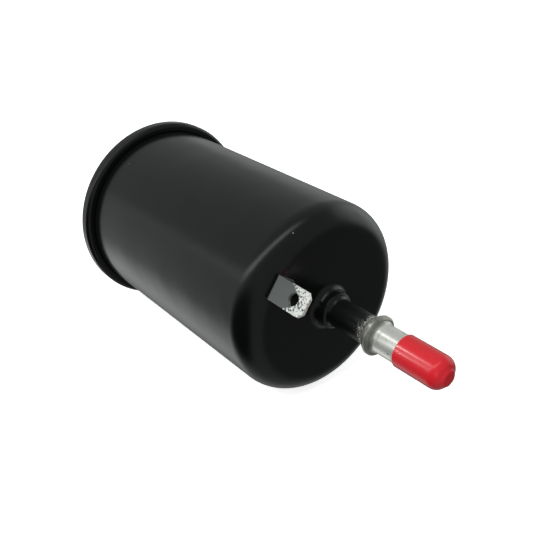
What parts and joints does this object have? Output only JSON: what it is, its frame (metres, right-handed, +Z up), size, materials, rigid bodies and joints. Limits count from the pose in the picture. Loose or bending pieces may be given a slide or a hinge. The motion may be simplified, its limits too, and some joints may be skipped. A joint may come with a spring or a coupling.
{
  "type": "fuel filter",
  "caption": "Inline fuel filter: black steel can with a double-seamed cover, beaded spouts with red shipping caps, a ground tab and a pleated element inside.",
  "frame": {"origin": "on the can's axis, in the middle of the straight wall that a strap or clamp holds", "axes": "+X along the can's axis towards the nose and the outlet spout, +Z up with the can lying on its side"},
  "size_m": [0.1607, 0.0602, 0.0602],
  "materials": {
    "black_paint": "gloss",
    "bare_steel": "satin",
    "tinned_steel": "satin",
    "plated_steel": "satin",
    "spring_steel": "satin",
    "red_vinyl": "gloss",
    "filter_paper": "matte",
    "plastisol": "satin",
    "black_rubber": "matte",
    "white_nylon": "satin",
    "compound": "matte"
  },
  "bodies": {
    "filter": {"can_shell": "black_paint", "rear_cover": "black_paint", "seam_compound": "compound", "outlet_tube": "bare_steel", "inlet_tube": "bare_steel", "outlet_braze": "black_paint", "inlet_braze": "black_paint", "ground_tab": "tinned_steel", "pleated_media": "filter_paper", "media_clip": "bare_steel", "core_tube": "plated_steel", "outlet_end_disc": "plated_steel", "inlet_end_disc": "plated_steel", "outlet_potting": "plastisol", "inlet_potting": "plastisol", "seat_grommet": "black_rubber", "spring_seat": "plated_steel", "retaining_spring": "spring_steel", "element_guide": "white_nylon"},
    "outlet_cap": {"outlet_cap": "red_vinyl"},
    "inlet_cap": {"inlet_cap": "red_vinyl"}
  },
  "joints": [
    {"name": "outlet_cap_pull", "type": "slide", "parent": "filter", "child": "outlet_cap", "axis": [1, 0, 0], "range_m": [0, 0.025]},
    {"name": "inlet_cap_pull", "type": "slide", "parent": "filter", "child": "inlet_cap", "axis": [-1, 0, 0], "range_m": [0, 0.025]}
  ]
}
